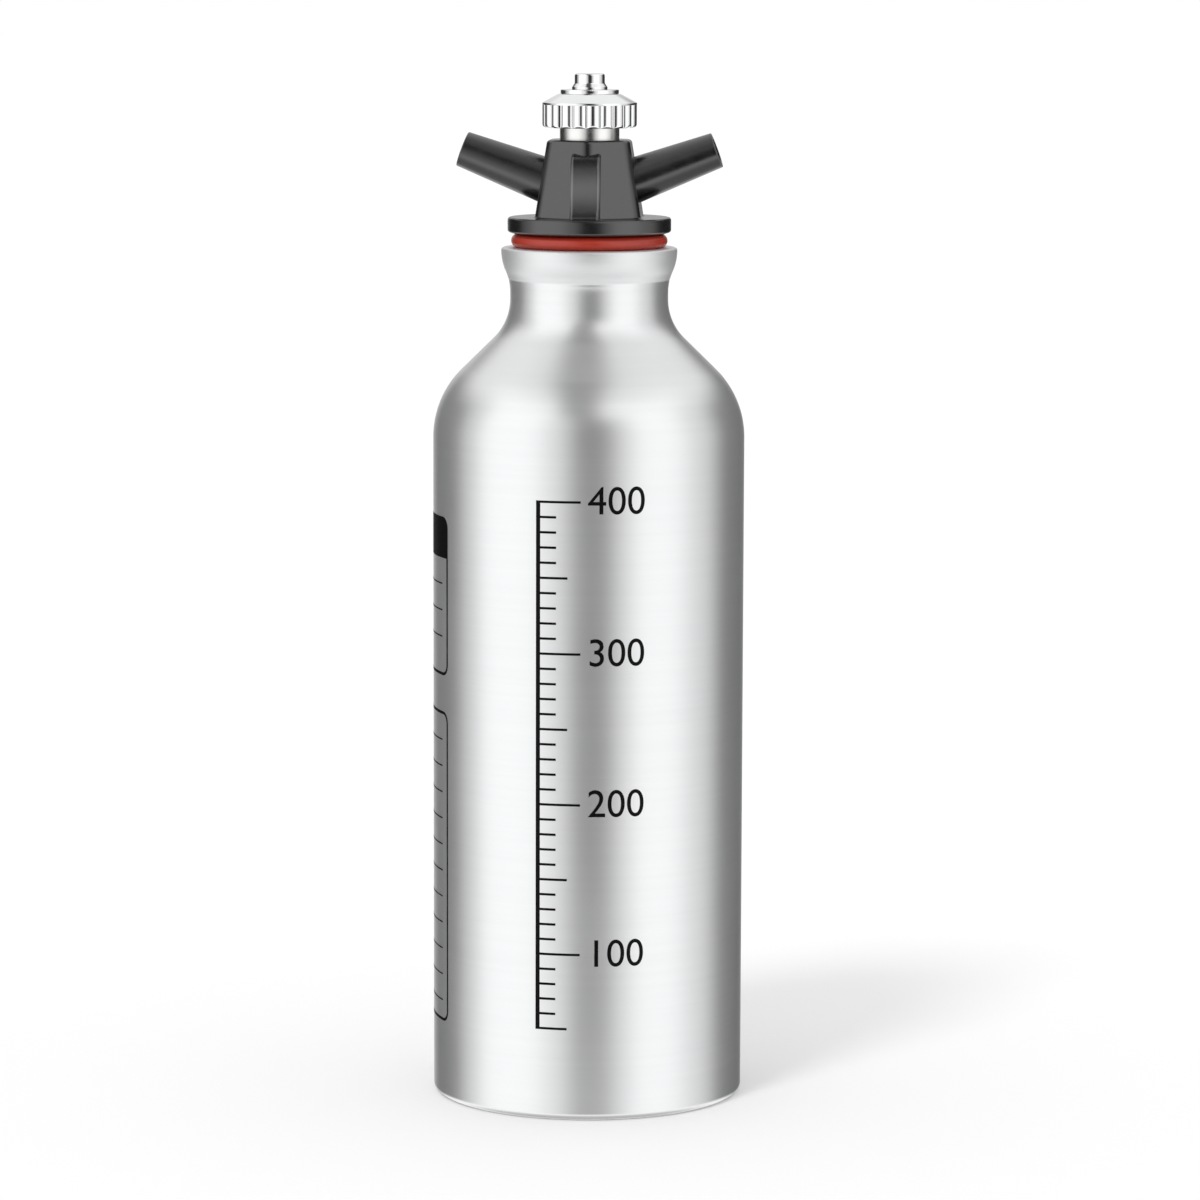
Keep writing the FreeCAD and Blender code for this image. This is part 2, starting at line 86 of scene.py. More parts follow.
def begin_outline(name, r, z):
    """Starts a new piece in edit mode with one point of its half section, which stands on the XZ plane."""
    bpy.ops.object.select_all(action="DESELECT")
    bpy.ops.mesh.primitive_plane_add(size=merge_gap, location=(0, 0, 0))
    piece = bpy.context.object
    piece.name = name
    bpy.ops.object.mode_set(mode="EDIT")
    bpy.ops.mesh.select_mode(type="VERT")
    bpy.ops.mesh.select_all(action="SELECT")
    bpy.ops.mesh.merge(type="CENTER")
    bpy.ops.transform.translate(value=(r, 0, z))
    return piece


def outline_end():
    """The selected end point of the half section that is being drawn."""
    mesh = bmesh.from_edit_mesh(bpy.context.object.data)
    return next(vertex.co.copy() for vertex in mesh.verts if vertex.select)


def line_to(r, z):
    """Draws a straight run of the half section."""
    run = Vector((r, 0, z)) - outline_end()
    bpy.ops.mesh.extrude_vertices_move(TRANSFORM_OT_translate={"value": run})


def arc_about(centre_r, centre_z, sweep, steps):
    """Draws a round run about a centre; a positive sweep goes from outwards to upwards."""
    bpy.ops.mesh.spin(steps=steps, angle=sweep, center=(centre_r, 0, centre_z), axis=(0, 1, 0))


def turn_piece(piece, steps):
    """Spins the drawn half section round the bottle's axis and closes the mesh."""
    bpy.ops.mesh.select_all(action="SELECT")
    bpy.ops.mesh.spin(steps=steps, angle=full_turn, center=(0, 0, 0), axis=(0, 0, 1))
    bpy.ops.mesh.select_all(action="SELECT")
    bpy.ops.mesh.remove_doubles(threshold=merge_gap)
    bpy.ops.mesh.normals_make_consistent(inside=False)
    bpy.ops.object.mode_set(mode="OBJECT")
    bpy.ops.object.transform_apply()
    bpy.ops.object.shade_smooth_by_angle(angle=smooth_angle)
    return piece


def select_points(test):
    """Selects the points of the piece in edit mode whose place passes the test."""
    mesh = bmesh.from_edit_mesh(bpy.context.object.data)
    for vertex in mesh.verts:
        vertex.select = test(vertex.co)
    mesh.select_flush_mode()
    bmesh.update_edit_mesh(bpy.context.object.data)


mouth_r = waist_r - neck_wall
lip_r = waist_r + lip_flare
inner_r = body_r - body_wall
shoulder_end_r = body_r - shoulder_arc_r * (1 - math.cos(shoulder_slope))
shoulder_end_z = straight_top_z + shoulder_arc_r * math.sin(shoulder_slope)
waist_start_r = waist_r + waist_arc_r * (1 - math.cos(shoulder_slope))
waist_start_z = shoulder_end_z + (shoulder_end_r - waist_start_r) / math.tan(shoulder_slope)
waist_z = waist_start_z + waist_arc_r * math.sin(shoulder_slope)
lip_top_z = bottle_high.z
ring_inner_r = body_r - base_corner_r - base_ring_w
dome_r = (ring_inner_r ** 2 + base_dome_h ** 2) / (2 * base_dome_h)
dome_centre_z = base_dome_h - dome_r
dome_sweep = math.asin(ring_inner_r / dome_r)
flare_foot_z = waist_z + neck_straight_h
flare_half_h = (lip_top_z - lip_round_r - flare_foot_z) / 2
flare_half_w = lip_flare / 2
flare_arc_r = (flare_half_w ** 2 + flare_half_h ** 2) / (2 * flare_half_w)
flare_sweep = math.asin(flare_half_h / flare_arc_r)
inner_arc_r = shoulder_arc_r - body_wall
inner_end_r = body_r - shoulder_arc_r + inner_arc_r * math.cos(shoulder_slope)
inner_end_z = straight_top_z + inner_arc_r * math.sin(shoulder_slope)
inner_dome_r = dome_r + base_t
inner_dome_sweep = math.acos((inner_dome_r - base_dome_h) / inner_dome_r)

bottle = begin_outline("brushed_bottle", 0, base_dome_h)
arc_about(0, dome_centre_z, -dome_sweep, steps=16)
line_to(body_r - base_corner_r, 0)
arc_about(body_r - base_corner_r, base_corner_r, quarter_turn, steps=8)
line_to(body_r, straight_top_z)
arc_about(body_r - shoulder_arc_r, straight_top_z, shoulder_slope, steps=24)
line_to(waist_start_r, waist_start_z)
arc_about(waist_r + waist_arc_r, waist_z, -shoulder_slope, steps=18)
line_to(waist_r, flare_foot_z)
arc_about(waist_r + flare_arc_r, flare_foot_z, -flare_sweep, steps=16)
arc_about(lip_r - flare_arc_r, lip_top_z - lip_round_r, flare_sweep, steps=16)
arc_about(lip_r - lip_round_r, lip_top_z - lip_round_r, quarter_turn, steps=8)
line_to(mouth_r + mouth_round_r, lip_top_z)
arc_about(mouth_r + mouth_round_r, lip_top_z - mouth_round_r, quarter_turn, steps=6)
line_to(mouth_r, inner_end_z + (inner_end_r - mouth_r) / math.tan(shoulder_slope))
line_to(inner_end_r, inner_end_z)
arc_about(body_r - shoulder_arc_r, straight_top_z, -shoulder_slope, steps=12)
line_to(inner_r, base_t + base_inner_corner_r)
arc_about(inner_r - base_inner_corner_r, base_t + base_inner_corner_r, -quarter_turn, steps=6)
line_to(inner_dome_r * math.sin(inner_dome_sweep), base_t)
arc_about(0, dome_centre_z, inner_dome_sweep, steps=10)
select_points(lambda place: abs(place.z - tool_mark_z) < tool_mark_reach and place.x > waist_r)
bpy.ops.transform.translate(value=(-tool_mark_depth, 0, 0))
turn_piece(bottle, bottle_turn_steps)


def new_finish(name):
    """A new finish that is made of nodes."""
    finish = bpy.data.materials.new(name)
    finish.use_nodes = True
    return finish


def nodes_of(finish):
    """A finish's node tree and its shader."""
    return finish.node_tree, finish.node_tree.nodes["Principled BSDF"]


def pattern(tree, spots, detail):
    """Noise on the piece's own coordinates, with so many spots per metre along X, Y and Z."""
    place = tree.nodes.new("ShaderNodeTexCoord")
    mapping = tree.nodes.new("ShaderNodeMapping")
    mapping.inputs["Scale"].default_value = spots
    noise = tree.nodes.new("ShaderNodeTexNoise")
    noise.inputs["Scale"].default_value = 1
    noise.inputs["Detail"].default_value = detail
    tree.links.new(place.outputs["Object"], mapping.inputs["Vector"])
    tree.links.new(mapping.outputs["Vector"], noise.inputs["Vector"])
    return noise.outputs["Fac"]


def spread(tree, source, low, high):
    """Spreads a noise's values, of which most lie near the middle, over the range from low to high."""
    noise_low = 0.3
    noise_high = 0.7
    ranges = tree.nodes.new("ShaderNodeMapRange")
    ranges.inputs["From Min"].default_value = noise_low
    ranges.inputs["From Max"].default_value = noise_high
    ranges.inputs["To Min"].default_value = low
    ranges.inputs["To Max"].default_value = high
    tree.links.new(source, ranges.inputs["Value"])
    return ranges.outputs["Result"]


def tint(tree, source, dark, light):
    """A colour between two colours, by a noise."""
    blend = tree.nodes.new("ShaderNodeMix")
    blend.data_type = "RGBA"
    blend.inputs["A"].default_value = (*dark, 1)
    blend.inputs["B"].default_value = (*light, 1)
    tree.links.new(source, blend.inputs["Factor"])
    return blend.outputs["Result"]


def own_places(tree):
    """The X, Y and Z of a point on the piece, by name."""
    place = tree.nodes.new("ShaderNodeTexCoord")
    places = tree.nodes.new("ShaderNodeSeparateXYZ")
    tree.links.new(place.outputs["Object"], places.inputs["Vector"])
    return places.outputs


def within(tree, source, outside, inside):
    """How far a place has come in between two bounds, with soft ends."""
    ranges = tree.nodes.new("ShaderNodeMapRange")
    ranges.interpolation_type = "SMOOTHSTEP"
    ranges.inputs["From Min"].default_value = outside
    ranges.inputs["From Max"].default_value = inside
    tree.links.new(source, ranges.inputs["Value"])
    return ranges.outputs["Result"]


def go_over(tree, share, source, end):
    """Goes over from a varying value or colour to an even one, by a share."""
    blend = tree.nodes.new("ShaderNodeMix")
    if isinstance(end, tuple):
        blend.data_type = "RGBA"
        blend.inputs["B"].default_value = (*end, 1)
    else:
        blend.inputs["B"].default_value = end
    tree.links.new(share, blend.inputs["Factor"])
    tree.links.new(source, blend.inputs["A"])
    return blend.outputs["Result"]


def raise_surface(tree, shader, height, depth):
    """Lets a noise stand out of the surface by a depth in metres."""
    bump = tree.nodes.new("ShaderNodeBump")
    bump.inputs["Strength"].default_value = 1
    bump.inputs["Distance"].default_value = depth
    tree.links.new(height, bump.inputs["Height"])
    tree.links.new(bump.outputs["Normal"], shader.inputs["Normal"])


aluminium_dark = (0.77, 0.775, 0.78)
aluminium_light = (0.805, 0.81, 0.815)
aluminium_metal = 0.8
brush_depth = 0.000001
body_roughness_low = 0.276
body_roughness_high = 0.300
lip_roughness = 0.46
aluminium = new_finish("brushed_aluminium")
tree, shader = nodes_of(aluminium)
brush_lines = pattern(tree, spots=(14, 14, 1000), detail=1)
handling = pattern(tree, spots=(55, 55, 38), detail=2)
shader.inputs["Metallic"].default_value = aluminium_metal
tree.links.new(tint(tree, brush_lines, aluminium_dark, aluminium_light), shader.inputs["Base Color"])
lip_start_z = tool_mark_z - tool_mark_reach
lip_full_z = tool_mark_z + tool_mark_reach
on_lip = within(tree, own_places(tree)["Z"], lip_start_z, lip_full_z)
brushed = spread(tree, handling, body_roughness_low, body_roughness_high)
tree.links.new(go_over(tree, on_lip, brushed, lip_roughness), shader.inputs["Roughness"])
raise_surface(tree, shader, brush_lines, brush_depth)
bottle.data.materials.append(aluminium)
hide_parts("bottle_shell")
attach(bottle, "bottle")

# Neck thread: a coarse right-handed ridge, rolled into the bore below the lip before the neck was trimmed.
# It is the same metal as the bottle.
thread_lead = 0.004
thread_root_half_w = 0.00085
thread_crest_half_w = 0.0003
thread_root_sink = 0.0001
thread_steps_per_turn = 96
thread_runout_turns = 0.2
thread_end_share = 0.1
neck_thread_depth = 0.00105
neck_thread_below_lip = 0.0114
neck_thread_start_z = lip_top_z - neck_thread_below_lip
neck_thread_turns = 2


def wind_section(piece, turns, rise):
    """Winds the piece's section round the bottle's axis, right-handed, while it rises."""
    screw = piece.modifiers.new("screw", "SCREW")
    screw.angle = turns * full_turn
    screw.screw_offset = rise
    screw.steps = round(turns * thread_steps_per_turn)
    screw.render_steps = screw.steps
    bpy.ops.object.modifier_apply(modifier="screw")


def close_ends(piece):
    """Closes both ends of a wound section."""
    bpy.ops.object.mode_set(mode="EDIT")
    bpy.ops.mesh.select_all(action="SELECT")
    bpy.ops.mesh.fill_holes(sides=0)
    bpy.ops.mesh.normals_make_consistent(inside=False)
    bpy.ops.object.mode_set(mode="OBJECT")
    bpy.ops.object.shade_smooth_by_angle(angle=smooth_angle)


def thread_ridge(name, root_r, crest_r, start_z, turns):
    """A helical ridge that runs out at both ends, with its first section at the bottle's right."""
    sunk_r = root_r + thread_root_sink * (1 if crest_r < root_r else -1)
    ridge = begin_outline(name, sunk_r, start_z - thread_root_half_w)
    line_to(crest_r, start_z - thread_crest_half_w)
    line_to(crest_r, start_z + thread_crest_half_w)
    line_to(sunk_r, start_z + thread_root_half_w)
    bpy.ops.mesh.select_all(action="SELECT")
    bpy.ops.mesh.edge_face_add()
    bpy.ops.mesh.delete(type="ONLY_FACE")
    bpy.ops.object.mode_set(mode="OBJECT")
    bpy.ops.object.transform_apply()
    corners = len(ridge.data.vertices)
    wind_section(ridge, turns, turns * thread_lead)
    runout_steps = thread_runout_turns * thread_steps_per_turn
    last = len(ridge.data.vertices) // corners - 1
    for vertex in ridge.data.vertices:
        step = vertex.index // corners
        share = max(thread_end_share, min(1, step / runout_steps, (last - step) / runout_steps))
        r = math.hypot(vertex.co.x, vertex.co.y)
        fitted_r = sunk_r + (r - sunk_r) * share
        vertex.co.x *= fitted_r / r
        vertex.co.y *= fitted_r / r
    close_ends(ridge)
    return ridge


neck_thread = thread_ridge(
    "neck_thread", mouth_r, mouth_r - neck_thread_depth, neck_thread_start_z, neck_thread_turns)
neck_thread.data.materials.append(aluminium)
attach(neck_thread, "bottle")

# Print: black screen ink baked on the brushed metal, a fill scale in front and two blank note panels left.
# Each mark of the scale stands where the bottle holds that much.
scale_left = -0.0085
scale_rail_w = 0.0009
scale_mark_h = 0.0005
scale_first_ml = 50
scale_last_ml = 400
scale_step_ml = 10
half_step_ml = 50
number_step_ml = 100
mark_lengths = {number_step_ml: 0.0085, half_step_ml: 0.0058, scale_step_ml: 0.0034}
number_gap = 0.0014
number_h = 0.0082
panel_right = math.radians(-59.2) * print_r
panel_w = 0.036
panel_corner_r = 0.0024
panel_corner_steps = 6
panel_line_w = 0.0006
panel_rule_w = 0.0003
panel_margin = 0.003
panel_rule_gap = 0.0056
top_panel_low_z = 0.0911
top_panel_high_z = 0.1247
top_panel_head_z = 0.116
low_panel_low_z = 0.0169
low_panel_high_z = 0.0834
strip_w = 0.001
cubic_metres_per_ml = 1e-6
dome_edge_r = inner_dome_r * math.sin(inner_dome_sweep)
dome_volume = math.pi * base_dome_h / 6 * (3 * dome_edge_r ** 2 + base_dome_h ** 2)
bore_area = math.pi * inner_r ** 2


def fill_z(ml):
    """The height that so many millilitres reach in the bottle."""
    return base_t + (ml * cubic_metres_per_ml + dome_volume) / bore_area


def begin_print(name):
    """An empty flat print, in edit mode."""
    bpy.ops.object.select_all(action="DESELECT")
    bpy.ops.mesh.primitive_plane_add()
    piece = bpy.context.object
    piece.name = name
    bpy.ops.object.mode_set(mode="EDIT")
    bpy.ops.mesh.select_mode(type="VERT")
    bpy.ops.mesh.select_all(action="SELECT")
    bpy.ops.mesh.delete(type="VERT")
    return piece


def print_bar(left, right, low_z, high_z):
    """A flat printed bar, measured along the bottle's skin from the front; it stays selected."""
    middle = ((left + right) / 2, 0, (low_z + high_z) / 2)
    bpy.ops.mesh.select_all(action="DESELECT")
    bpy.ops.mesh.primitive_plane_add(size=1, location=middle, rotation=(quarter_turn, 0, 0))
    bpy.ops.transform.resize(value=(right - left, 1, high_z - low_z), center_override=middle)


def print_panel(low_z, high_z, head_z):
    """A rounded frame with ruled lines; ink fills it above head_z."""
    left = panel_right - panel_w
    print_bar(left, panel_right, low_z, high_z)
    bpy.ops.mesh.bevel(offset=panel_corner_r, segments=panel_corner_steps, affect="VERTICES")
    bpy.ops.mesh.inset(thickness=panel_line_w)
    bpy.ops.mesh.bisect(plane_co=(0, 0, head_z), plane_no=(0, 0, 1))
    mesh = bmesh.from_edit_mesh(bpy.context.object.data)
    for face in mesh.faces:
        middle = face.calc_center_bounds()
        inside = left + panel_corner_r < middle.x < panel_right - panel_corner_r
        face.select = inside and low_z + panel_corner_r < middle.z < head_z
    bmesh.update_edit_mesh(bpy.context.object.data)
    bpy.ops.mesh.delete(type="FACE")
    rule_z = min(head_z, high_z) - panel_rule_gap
    while rule_z > low_z + panel_margin:
        print_bar(left + panel_margin, panel_right - panel_margin, rule_z, rule_z + panel_rule_w)
        rule_z -= panel_rule_gap


def add_number(piece, words, left, middle_z):
    """Sets a number on the flat print."""
    bpy.ops.object.select_all(action="DESELECT")
    bpy.ops.object.text_add(location=(left, 0, middle_z), rotation=(quarter_turn, 0, 0))
    number = bpy.context.object
    number.data.body = words
    number.data.size = number_h
    number.data.align_y = "CENTER"
    bpy.ops.object.convert(target="MESH")
    bpy.ops.object.transform_apply()
    piece.select_set(True)
    bpy.context.view_layer.objects.active = piece
    bpy.ops.object.join()


def wrap_print(piece):
    """Cuts the flat print into strips, wraps it round the body and gives it the ink's thickness."""
    places = [vertex.co.x for vertex in piece.data.vertices]
    bpy.ops.object.mode_set(mode="EDIT")
    cut = min(places) + strip_w
    while cut < max(places):
        bpy.ops.mesh.select_all(action="SELECT")
        bpy.ops.mesh.bisect(plane_co=(cut, 0, 0), plane_no=(1, 0, 0))
        cut += strip_w
    bpy.ops.mesh.select_all(action="SELECT")
    bpy.ops.mesh.remove_doubles(threshold=merge_gap)
    bpy.ops.object.mode_set(mode="OBJECT")
    for vertex in piece.data.vertices:
        turn = vertex.co.x / print_r
        vertex.co = (print_r * math.sin(turn), -print_r * math.cos(turn), vertex.co.z)
    skin = piece.modifiers.new("ink", "SOLIDIFY")
    skin.thickness = ink_t
    skin.offset = -1
    bpy.ops.object.modifier_apply(modifier="ink")


fill_scale = begin_print("fill_scale")
rail_low_z = fill_z(scale_first_ml) - scale_mark_h / 2
rail_high_z = fill_z(scale_last_ml) + scale_mark_h / 2
mark_left = scale_left + scale_rail_w
print_bar(scale_left, mark_left, rail_low_z, rail_high_z)
for ml in range(scale_first_ml, scale_last_ml + 1, scale_step_ml):
    length = next(mark_lengths[step] for step in mark_lengths if ml % step == 0)
    mark_z = fill_z(ml)
    print_bar(mark_left, mark_left + length, mark_z - scale_mark_h / 2, mark_z + scale_mark_h / 2)
bpy.ops.object.mode_set(mode="OBJECT")
bpy.ops.object.transform_apply()
number_left = mark_left + mark_lengths[number_step_ml] + number_gap
for ml in range(number_step_ml, scale_last_ml + 1, number_step_ml):
    add_number(fill_scale, str(ml), number_left, fill_z(ml))
wrap_print(fill_scale)

note_panels = begin_print("note_panels")
print_panel(top_panel_low_z, top_panel_high_z, top_panel_head_z)
print_panel(low_panel_low_z, low_panel_high_z, low_panel_high_z - panel_line_w)
bpy.ops.object.mode_set(mode="OBJECT")
bpy.ops.object.transform_apply()
wrap_print(note_panels)


def grained_finish(name, spots, detail, colours, roughness, depth, metal=0.0):
    """A finish whose colour, gloss and surface all follow one noise."""
    finish = new_finish(name)
    tree, shader = nodes_of(finish)
    grain_and_painted_sheen = pattern(tree, spots, detail)
    shader.inputs["Metallic"].default_value = metal
    tree.links.new(tint(tree, grain_and_painted_sheen, *colours), shader.inputs["Base Color"])
    tree.links.new(spread(tree, grain_and_painted_sheen, *roughness), shader.inputs["Roughness"])
    raise_surface(tree, shader, grain_and_painted_sheen, depth)
    return finish


ink_gloss = 0.1
ink = grained_finish(
    "black_ink", spots=(2500, 2500, 2500), detail=3, roughness=(0.4, 0.55), depth=0.000003,
    colours=((0.001, 0.001, 0.001), (0.003, 0.003, 0.003)))
ink.node_tree.nodes["Principled BSDF"].inputs["Specular IOR Level"].default_value = ink_gloss
for piece in (fill_scale, note_panels):
    piece.data.materials.append(ink)
    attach(piece, "bottle")

# Red silicone O-ring: moulded in one piece and pinched between the rolled lip and the cap's flange.
# Its satin skin has a faint bloom of mould powder.
silicone = grained_finish(
    "red_silicone", spots=(500, 500, 500), detail=1, roughness=(0.24, 0.27), depth=0.000002,
    colours=((0.36, 0.027, 0.012), (0.42, 0.035, 0.017)))
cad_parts["cap_o_ring"].material_slots[0].material = silicone

# Cap moulding and its two spouts: glass-filled black plastic out of a steel mould, satin all over, with a
# grey painted sheen on the faces of its two ribs. The spouts are separate tubes that plug into the tower.
plastic_dark = (0.003, 0.003, 0.0032)
plastic_light = (0.0045, 0.0045, 0.0047)
plastic_ior = 1.58
plastic_gloss = 1.0
plastic_roughness_low = 0.22
plastic_roughness_high = 0.27
peel_depth = 0.000004
# Painted sheen: a grey base colour on the ribs' faces, greyest at middle height, and where it lies.
rib_painted_sheen_grey = (0.1, 0.1, 0.102)
rib_half_w = 0.0030
rib_edge_start = 0.0028
rib_edge_roughness = 0.6
rib_fade_w = 0.0003
rib_root_y = 0.0108
rib_face_y = 0.0116
rib_foot_z = 0.1870
painted_sheen_low_z = 0.1866
painted_sheen_middle_z = 0.1933
painted_sheen_high_z = 0.1995


def size_of(tree, source):
    """A value without its sign."""
    plain = tree.nodes.new("ShaderNodeMath")
    plain.operation = "ABSOLUTE"
    tree.links.new(source, plain.inputs[0])
    return plain.outputs["Value"]


def both(tree, first, second):
    """Where both shares hold."""
    product = tree.nodes.new("ShaderNodeMath")
    product.operation = "MULTIPLY"
    tree.links.new(first, product.inputs[0])
    tree.links.new(second, product.inputs[1])
    return product.outputs["Value"]


black_plastic = new_finish("black_plastic")
tree, shader = nodes_of(black_plastic)
orange_peel = pattern(tree, spots=(600, 600, 600), detail=1)
shader.inputs["IOR"].default_value = plastic_ior
shader.inputs["Specular IOR Level"].default_value = plastic_gloss
black = tint(tree, orange_peel, plastic_dark, plastic_light)
places = own_places(tree)
from_middle = size_of(tree, places["X"])
in_rib_w = within(tree, from_middle, rib_half_w + rib_fade_w, rib_half_w)
on_rib_face = within(tree, size_of(tree, places["Y"]), rib_root_y, rib_face_y)
over_foot = within(tree, places["Z"], painted_sheen_low_z, painted_sheen_middle_z)
under_crown = within(tree, places["Z"], painted_sheen_high_z, painted_sheen_middle_z)
# Painted sheen: the ribs' faces turn grey at middle height and go back to black at the foot and the crown.
grain_and_painted_sheen = both(tree, both(tree, in_rib_w, on_rib_face), both(tree, over_foot, under_crown))
tree.links.new(go_over(tree, grain_and_painted_sheen, black, rib_painted_sheen_grey), shader.inputs["Base Color"])
over_flange = within(tree, places["Z"], rib_foot_z, rib_foot_z + rib_fade_w)
off_middle = within(tree, from_middle, rib_edge_start, rib_half_w)
rib_edges = both(tree, both(tree, on_rib_face, over_flange), off_middle)
satin = spread(tree, orange_peel, plastic_roughness_low, plastic_roughness_high)
tree.links.new(go_over(tree, rib_edges, satin, rib_edge_roughness), shader.inputs["Roughness"])
raise_surface(tree, shader, orange_peel, peel_depth)
for name in ("valve_body", "pour_spout", "vent_spout"):
    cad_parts[name].material_slots[0].material = black_plastic

# Plug thread: the cap moulding's own ridge, of the same black plastic, moulded round its plug.
# It runs in the groove of the neck's thread and pulls the flange down on the O-ring.
plug_r = 0.0126
plug_thread_depth = 0.00105
plug_thread_turns = 1.75
plug_thread_start_z = neck_thread_start_z + thread_lead / 2
plug_thread = thread_ridge(
    "plug_thread", plug_r, plug_r + plug_thread_depth, plug_thread_start_z, plug_thread_turns)
plug_thread.data.materials.append(black_plastic)
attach(plug_thread, "valve_cap")

# Guide collar: turned brass, satin nickel plated, pressed into the top of the tower.
# The tool's lines run round it.
lathe_lines = 0.3
across_lines = 0.25
satin_nickel = grained_finish(
    "satin_nickel", spots=(60, 60, 9000), detail=2, roughness=(0.24, 0.27), depth=0.000002,
    colours=((0.78, 0.775, 0.76), (0.88, 0.875, 0.86)), metal=1)
tree, shader = nodes_of(satin_nickel)
tangent = tree.nodes.new("ShaderNodeTangent")
tangent.direction_type = "RADIAL"
tangent.axis = "Z"
tree.links.new(tangent.outputs["Tangent"], shader.inputs["Tangent"])
shader.inputs["Anisotropic"].default_value = lathe_lines
shader.inputs["Anisotropic Rotation"].default_value = across_lines
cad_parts["guide_collar"].material_slots[0].material = satin_nickel

# Valve works inside the cap: stem, clip, washers and nut, all of stainless steel.
# They are turned or stamped and left as machined.
stem_steel = grained_finish(
    "stem_steel", spots=(400, 400, 7000), detail=2, roughness=(0.28, 0.36), depth=0.000003,
    colours=((0.54, 0.54, 0.535), (0.66, 0.66, 0.655)), metal=1)
steel_nodes = (
    "valve_stem", "stem_clip", "spring_washer", "seal_backing_washer", "seal_lock_washer",
    "seal_lock_nut", "knob_thrust_washer",
)
for name in steel_nodes:
    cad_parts[name].material_slots[0].material = stem_steel

# Return spring: stainless wire wound into an even coil, loose in its chamber round the stem.
# It stands on the chamber's floor. In use it is pressed together as far as the button goes down; here it
# keeps one length.
spring_low, spring_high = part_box("return_spring")
spring_wire_r = 0.00035
spring_wire_sides = 16
spring_turns = 8
spring_h = spring_high.z - spring_low.z
bpy.ops.object.select_all(action="DESELECT")
bpy.ops.mesh.primitive_circle_add(
    vertices=spring_wire_sides, radius=spring_wire_r, rotation=(quarter_turn, 0, 0),
    location=(spring_high.x - spring_wire_r, 0, spring_low.z + spring_wire_r))
spring = bpy.context.object
spring.name = "wound_spring"
bpy.ops.object.transform_apply()
wind_section(spring, spring_turns, spring_h - 2 * spring_wire_r)
close_ends(spring)
spring.data.materials.append(stem_steel)
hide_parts("return_spring")
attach(spring, "valve_cap")
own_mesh(spring)

# Seals of the valve: a rubber disc under the two ports and a small O-ring round the stem.
# Both are matte black rubber that resists fuel.
black_rubber = grained_finish(
    "black_rubber", spots=(1500, 1500, 1500), detail=3, roughness=(0.55, 0.7), depth=0.00001,
    colours=((0.014, 0.014, 0.014), (0.026, 0.026, 0.025)))
for name in ("poppet_seal", "stem_o_ring"):
    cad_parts[name].material_slots[0].material = black_rubber

# Locking knob: turned brass with ribs milled all round, polished and chromed.
# It screws along the stem; its skirt hangs over the collar and its hub runs inside the collar.
knob_low, knob_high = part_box("locking_knob")
knob_r = knob_high.x
hub_r = 0.0046
stem_bore_r = 0.00205
counterbore_r = 0.00658
counterbore_h = 0.006
skirt_rise = 0.0015
band_h = 0.0052
knob_top_r = 0.0066
hub_round = 0.0003
skirt_inner_round = 0.00015
skirt_outer_round = 0.0008
band_round = 0.00025
crown_round = 0.0003
knob_corner_steps = 6
knob_ribs = 20
knob_steps_per_rib = 28
rib_round_r = 0.002
rim_t = 0.0004
rim_runout = 0.00004
rim_guard_w = 0.00005
groove_round = 0.00008
skirt_low_z = knob_low.z + skirt_rise
counterbore_top_z = knob_low.z + counterbore_h
band_top_z = skirt_low_z + band_h
rim_low_z = band_top_z - rim_t


def draw_corners(name, corners, steps):
    """Draws a closed half section through (r, z, corner radius) and rounds each corner by an arc."""
    places = [Vector((r, 0, z)) for r, z, radius in corners]
    piece = begin_outline(name, corners[0][0], corners[0][1])
    for index in range(1, len(corners)):
        here = places[index]
        radius = corners[index][2]
        if radius == 0:
            line_to(here.x, here.z)
            continue
        back = (places[index - 1] - here).normalized()
        ahead = (places[(index + 1) % len(places)] - here).normalized()
        half_angle = back.angle(ahead) / 2
        start = here + back * (radius / math.tan(half_angle))
        centre = here + (back + ahead).normalized() * (radius / math.sin(half_angle))
        left_turn = back.z * ahead.x - back.x * ahead.z
        line_to(start.x, start.z)
        arc_about(centre.x, centre.z, math.copysign(math.pi - 2 * half_angle, left_turn), steps)
    line_to(corners[0][0], corners[0][1])
    return piece


knob = draw_corners("ribbed_knob", [
    (stem_bore_r, knob_low.z, 0),
    (hub_r, knob_low.z, hub_round),
    (hub_r, counterbore_top_z, 0),
    (counterbore_r, counterbore_top_z, 0),
    (counterbore_r, skirt_low_z, skirt_inner_round),
    (knob_r, skirt_low_z, skirt_outer_round),
    (knob_r, rim_low_z - rim_runout - rim_guard_w, 0),
    (knob_r, rim_low_z - rim_runout, 0),
    (knob_r, rim_low_z, 0),
    (knob_r, rim_low_z + rim_guard_w, 0),
    (knob_r, band_top_z, band_round),
    (knob_top_r, knob_high.z, crown_round),
    (stem_bore_r, knob_high.z, 0),
], knob_corner_steps)
turn_piece(knob, knob_ribs * knob_steps_per_rib)
rib_pitch = full_turn / knob_ribs
for vertex in knob.data.vertices:
    r = math.hypot(vertex.co.x, vertex.co.y)
    runout = (rim_low_z - vertex.co.z) / rim_runout
    if r < counterbore_r + rim_t or runout < 0:
        continue
    turn = math.atan2(vertex.co.y, vertex.co.x)
    rib_middle = (math.floor(turn / rib_pitch) + 0.5) * rib_pitch
    from_rib_middle = (turn - rib_middle) * knob_r
    drop = (rib_round_r - math.sqrt(rib_round_r ** 2 - from_rib_middle ** 2)) * min(1, runout)
    floor_r = knob_r - drop
    cut_r = (r + floor_r - math.hypot(r - floor_r, groove_round)) / 2
    vertex.co.x *= cut_r / r
    vertex.co.y *= cut_r / r
chrome = grained_finish(
    "bright_chrome", spots=(260, 260, 260), detail=3, roughness=(0.07, 0.12), depth=0.000004,
    colours=((0.90, 0.905, 0.91), (0.95, 0.955, 0.96)), metal=1)
knob.data.materials.append(chrome)
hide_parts("locking_knob")
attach(knob, "knob")

